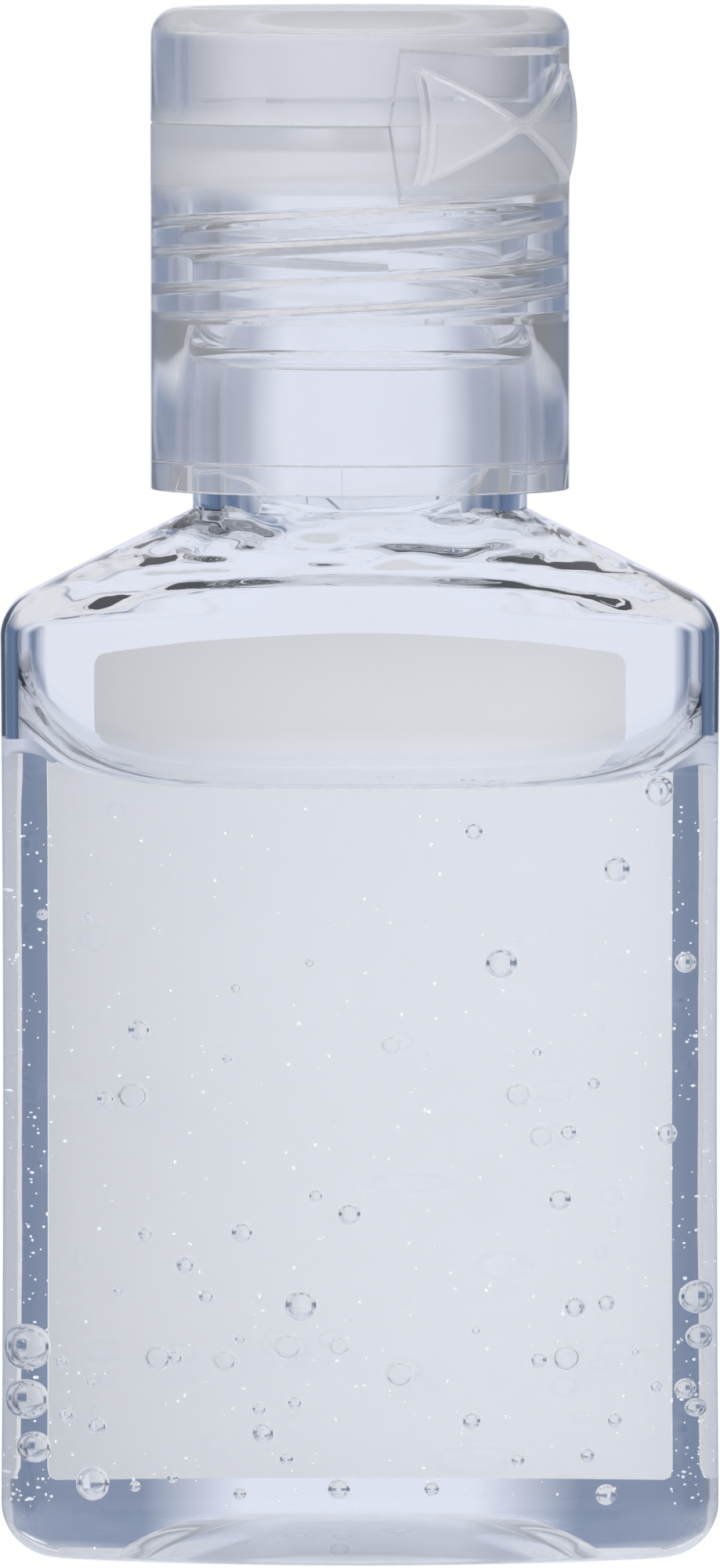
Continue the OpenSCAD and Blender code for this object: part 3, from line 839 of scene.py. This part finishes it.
def milky_plastic():
    """Unpigmented moulding plastic: nearly clear in the skirt and the lid's side, and milky in the thick deck
    and the parts inside."""
    finish = Finish("milky_plastic")
    place = finish.add("ShaderNodeSeparateXYZ", Vector=finish.place())
    off_deck = finish.math("ABSOLUTE", finish.math("SUBTRACT", place.outputs["Z"], deck_middle))
    deck = finish.ramp(off_deck, deck_clear, deck_milky, clear_rough, deck_rough)
    across = finish.add("ShaderNodeCombineXYZ", X=place.outputs["X"], Y=place.outputs["Y"])
    radius = finish.add("ShaderNodeVectorMath", operation="LENGTH")
    finish.links.new(across.outputs[0], radius.inputs[0])
    inner = finish.ramp(radius.outputs["Value"], inner_clear, inner_milky, clear_rough, inner_rough)
    top = finish.ramp(place.outputs["Z"], lid_z - top_clear, lid_z - top_milky, clear_rough, top_rough)
    milk = finish.math("MAXIMUM", finish.math("MAXIMUM", inner, top), finish.math("MULTIPLY", deck, 0.4))
    clear = finish.ramp(milk, clear_rough, inner_rough, 0.91, 0.70)
    tone = finish.ramp(milk, clear_rough, inner_rough, 0.97, 0.8)
    finish.set(Base_Color=finish.scaled(milky_white, tone), IOR=1.49, Transmission_Weight=clear,
               Roughness=finish.math("MAXIMUM", deck, inner))
    finish.bump(finish.noise(400, 2.0), 0.15, 0.03 * MM)
    finish.let_lamps_through((0.88, 0.89, 0.91))
    return finish.material


cap_milk = milky_plastic()
cap_base = skin("cap_base_moulded", cap_base_rings())
cut(cap_base, pocket_cutter(-1), scoop_cutter(), notch_cutters())
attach(cap_base, "cap")
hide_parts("cap_base")

# Lid. The upper part of the same moulding: a round cover with a ring and a boss inside, and the pin that
# seals the spout. It snaps over the rim on the deck.
lid_wall, lid_top, lid_round = 1.1 * MM, 1.2 * MM, 1.35 * MM
lid_ring_r, lid_boss_r, lid_ring_wall = 8.05 * MM, 4.5 * MM, 0.55 * MM
lid_clear = 0.2 * MM
pin_r, pin_root, pin_depth = 0.45 * MM, 0.6 * MM, 0.5 * MM
lid_seat = 0.02 * MM


def lid_rings(steps=12):
    under = lid_z - lid_top
    ring_low, boss_low = part_z + snap_h + lid_clear, part_z + lid_clear
    inside = rounded([
        (0, part_z + spout_h - pin_depth), (pin_r, part_z + spout_h - pin_depth), (pin_root, under),
        (lid_boss_r - lid_ring_wall, under), (lid_boss_r - lid_ring_wall, boss_low), (lid_boss_r, boss_low),
        (lid_boss_r, under), (lid_ring_r - lid_ring_wall, under), (lid_ring_r - lid_ring_wall, ring_low),
        (lid_ring_r, ring_low), (lid_ring_r, under), (cap_r - lid_wall, under),
        (cap_r - lid_wall, part_z + lid_seat), (cap_r, part_z + lid_seat), (cap_r, lid_z - lid_round)],
        edge_round, closed=False)
    section = inside[1:-1]
    for k in range(steps + 1):
        a = math.pi / 2 * k / steps
        section.append((cap_r - lid_round * (1 - math.cos(a)), lid_z - lid_round * (1 - math.sin(a))))
    section += [((cap_r - lid_round) * t, lid_z) for t in (0.75, 0.5, 0.25, 0.05)]
    return [round_ring(z, r) for r, z in section]


lid = skin("lid_moulded", lid_rings(), [(0, 0, part_z + spout_h - pin_depth), (0, 0, lid_z)])
cut(lid, pocket_cutter(1))
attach(lid, "lid")
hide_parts("cap_lid")

# Hinge. A bow tie of the same plastic, moulded in one with the cap and the lid. Its two wings bow
# outwards from the pocket, have raised edges, and thin down to a film at the waist.
web_proud, web_span, web_t = 0.6 * MM, 3.1 * MM, 0.45 * MM
web_rim, web_rim_w = 0.10 * MM, 0.22 * MM
waist_u, waist_half, neck_u, neck_half = 0.5 * MM, 0.38 * MM, 1.3 * MM, 0.85 * MM


def hinge_web():
    u = hinge_half_w * np.linspace(-1, 1, 121)
    half = np.interp(np.abs(u), [0, waist_u, neck_u, hinge_half_w],
                     [waist_half, waist_half, neck_half, hinge_half_h])
    t = np.sin(math.pi / 2 * np.linspace(-1, 1, 41))[:, None]
    v = t * half[None, :]
    u = np.broadcast_to(u[None, :], v.shape)
    gap = np.minimum(half[None, :] * (1 - np.abs(t)) * 0.88, hinge_half_w - np.abs(u))
    rim = web_rim * np.exp(-((gap - web_rim_w) / (0.5 * web_rim_w)) ** 2)
    outer = cap_r + web_proud * (1 - (v / web_span) ** 2) + rim * (np.abs(u) > waist_u)
    return solid("hinge_web", [on_wall(u, v, outer - web_t), on_wall(u, v, outer)])


web = hinge_web()
web.data.materials.append(cap_milk)
web.data.shade_smooth()
web.data.set_sharp_from_angle(angle=math.radians(50))
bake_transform(web)

# Studio. A round white floor, white light straight behind the bottle and dusky blue to both sides of
# it, as a sweep between two flags gives, and a soft lamp in front. The floor fades into the white.
floor_r = 0.30
floor_fade_from = 0.10
floor_fade_to = 0.24
floor_glow = 0.5


def studio_floor():
    mesh = bpy.data.meshes.new("floor")
    form = bmesh.new()
    bmesh.ops.create_circle(form, cap_ends=True, segments=96, radius=floor_r)
    form.to_mesh(mesh)
    form.free()
    piece = bpy.data.objects.new("floor", mesh)
    scene.collection.objects.link(piece)
    finish = Finish("floor")
    finish.set(Base_Color=(0.85, 0.85, 0.85, 1), Roughness=1.0, Emission_Color=(1, 1, 1, 1),
               Emission_Strength=floor_glow)
    white = finish.add("ShaderNodeEmission", Color=(1, 1, 1, 1), Strength=1.0).outputs[0]
    reach = finish.add("ShaderNodeVectorMath", operation="LENGTH")
    finish.links.new(finish.place(), reach.inputs[0])
    fade = finish.ramp(reach.outputs["Value"], floor_fade_from, floor_fade_to)
    faded = finish.mix(fade, finish.shader.outputs[0], white)
    path = finish.add("ShaderNodeLightPath")
    bent = finish.math("MAXIMUM", path.outputs["Is Transmission Ray"], path.outputs["Is Glossy Ray"])
    unseen = finish.add("ShaderNodeBsdfTransparent").outputs[0]
    finish.links.new(finish.mix(bent, faded, unseen), finish.output.inputs["Surface"])
    mesh.materials.append(finish.material)


behind_white = (0.80, 0.82, 0.91, 1)
beside_blue = (0.12, 0.18, 0.31, 1)
beyond_slate = (0.035, 0.05, 0.085, 1)
above_white = (0.74, 0.74, 0.76, 1)
front_white = (0.62, 0.61, 0.60, 1)
below_white = (0.70, 0.72, 0.78, 1)
fill_white = (0.80, 0.79, 0.77, 1)
beside_span, beyond_span = (0.13, 0.27), (0.70, 0.85)
front_span, above_span, below_span = (0.1, -0.3), (0.15, 0.38), (-0.12, -0.35)


def mix_colour(nodes, links, factor, a, b):
    """Colour a where factor is 0, and b where it is 1."""
    node = nodes.new("ShaderNodeMix")
    node.data_type = "RGBA"
    links.new(factor, node.inputs["Factor"])
    for value, socket in ((a, node.inputs[6]), (b, node.inputs[7])):
        if isinstance(value, bpy.types.NodeSocket):
            links.new(value, socket)
        else:
            socket.default_value = value
    return node.outputs[2]


def studio_world():
    """White to the camera, a plain fill for dull surfaces, and the sweep with its flags for clear ones."""
    world = bpy.data.worlds.new("studio")
    scene.world = world
    world.use_nodes = True
    nodes, links = world.node_tree.nodes, world.node_tree.links
    way = nodes.new("ShaderNodeSeparateXYZ")
    links.new(nodes.new("ShaderNodeTexCoord").outputs["Generated"], way.inputs[0])
    sideways = nodes.new("ShaderNodeMath")
    sideways.operation = "ABSOLUTE"
    links.new(way.outputs["X"], sideways.inputs[0])
    path = nodes.new("ShaderNodeLightPath")
    sky = behind_white
    for value, (start, end), colour in ((sideways.outputs[0], beside_span, beside_blue),
                                        (sideways.outputs[0], beyond_span, beyond_slate),
                                        (way.outputs["Y"], front_span, front_white),
                                        (way.outputs["Z"], above_span, above_white),
                                        (way.outputs["Z"], below_span, below_white)):
        part = nodes.new("ShaderNodeMapRange")
        links.new(value, part.inputs["Value"])
        part.inputs["From Min"].default_value = start
        part.inputs["From Max"].default_value = end
        sky = mix_colour(nodes, links, part.outputs[0], sky, colour)
    lit = mix_colour(nodes, links, path.outputs["Is Diffuse Ray"], sky, fill_white)
    seen = mix_colour(nodes, links, path.outputs["Is Camera Ray"], lit, (1, 1, 1, 1))
    links.new(seen, nodes["Background"].inputs["Color"])


def soft_lamp(name, place, aim, size, power):
    """A wide lamp that lights dull surfaces and is not mirrored in shiny ones."""
    lamp = bpy.data.lights.new(name, "AREA")
    lamp.shape = "RECTANGLE"
    lamp.size, lamp.size_y = size
    lamp.energy = power
    piece = bpy.data.objects.new(name, lamp)
    scene.collection.objects.link(piece)
    piece.location = place
    piece.rotation_euler = (Vector(aim) - Vector(place)).to_track_quat("-Z", "Y").to_euler()
    piece.visible_glossy = False
    piece.visible_transmission = False


studio_floor()
studio_world()
soft_lamp("front_lamp", (-0.25, -0.75, 0.20), (0, 0, 0.03), (0.5, 0.5), 5.4)
soft_lamp("top_lamp", (0.05, 0.0, 0.6), (0, 0, 0), (0.5, 0.4), 0.8)

scene.cycles.max_bounces = 20
scene.cycles.transmission_bounces = 20
scene.cycles.glossy_bounces = 6
scene.cycles.transparent_max_bounces = 32
